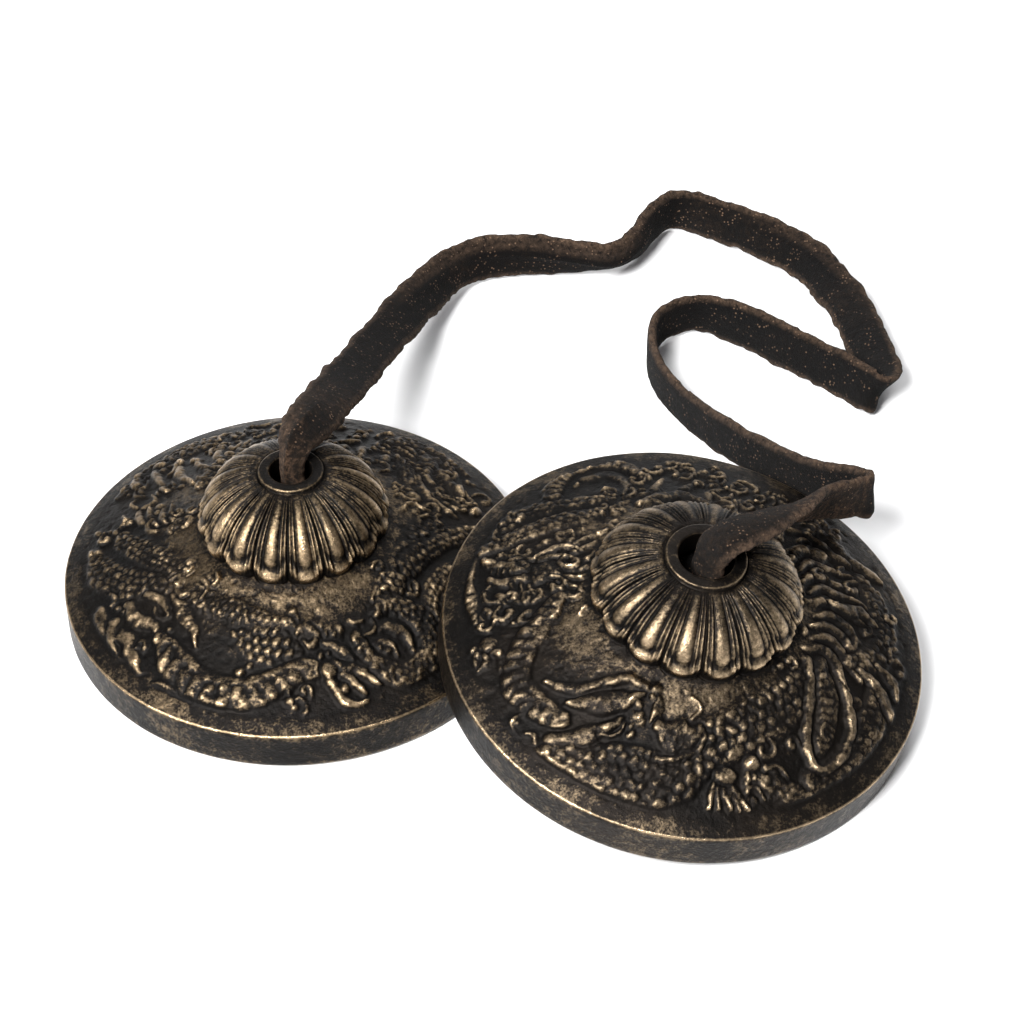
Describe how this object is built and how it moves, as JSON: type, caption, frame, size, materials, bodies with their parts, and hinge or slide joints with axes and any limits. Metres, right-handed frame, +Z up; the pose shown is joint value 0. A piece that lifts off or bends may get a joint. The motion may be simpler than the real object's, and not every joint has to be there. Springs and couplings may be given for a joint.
{
  "type": "hand cymbals",
  "caption": "Small thick cast bronze hand cymbals with embossed faces and petalled domes, joined by a leather strap and struck rim to rim for a long clear ring.",
  "frame": {"origin": "on the floor, in the middle of the box round the two cymbals", "axes": "+X from the left cymbal, which lies flat, towards the right one, which leans on it; +Z up; the strap lies behind, at +Y"},
  "size_m": [0.1311, 0.1487, 0.0348],
  "materials": {
    "left_bronze": "antiqued cast bronze, worn bright on the raised relief",
    "right_bronze": "antiqued cast bronze, darker patina in the recesses",
    "leather": "dark brown suede-sided thong leather"
  },
  "bodies": {
    "strap": {"strap": "leather", "left_knot": "leather"},
    "left_cymbal": {"left_cymbal": "left_bronze"},
    "right_knot": {"right_knot": "leather"},
    "right_cymbal": {"right_cymbal": "right_bronze"}
  },
  "joints": [
    {"name": "left_spin", "type": "hinge", "parent": "strap", "child": "left_cymbal", "pos_m": [-0.0283, 0.0101, 0], "axis": [0, 0, 1], "continuous": true},
    {"name": "right_lift", "type": "hinge", "parent": "strap", "child": "right_knot", "pos_m": [0.05231, -0.03328, 0], "axis": [0.6947, 0.7193, 0], "range_deg": [0, 45], "deforming": ["strap"]},
    {"name": "right_spin", "type": "hinge", "parent": "right_knot", "child": "right_cymbal", "pos_m": [0.0279, -0.0097, 0.00617], "axis": [0.1286, -0.1242, 0.9839], "continuous": true}
  ]
}
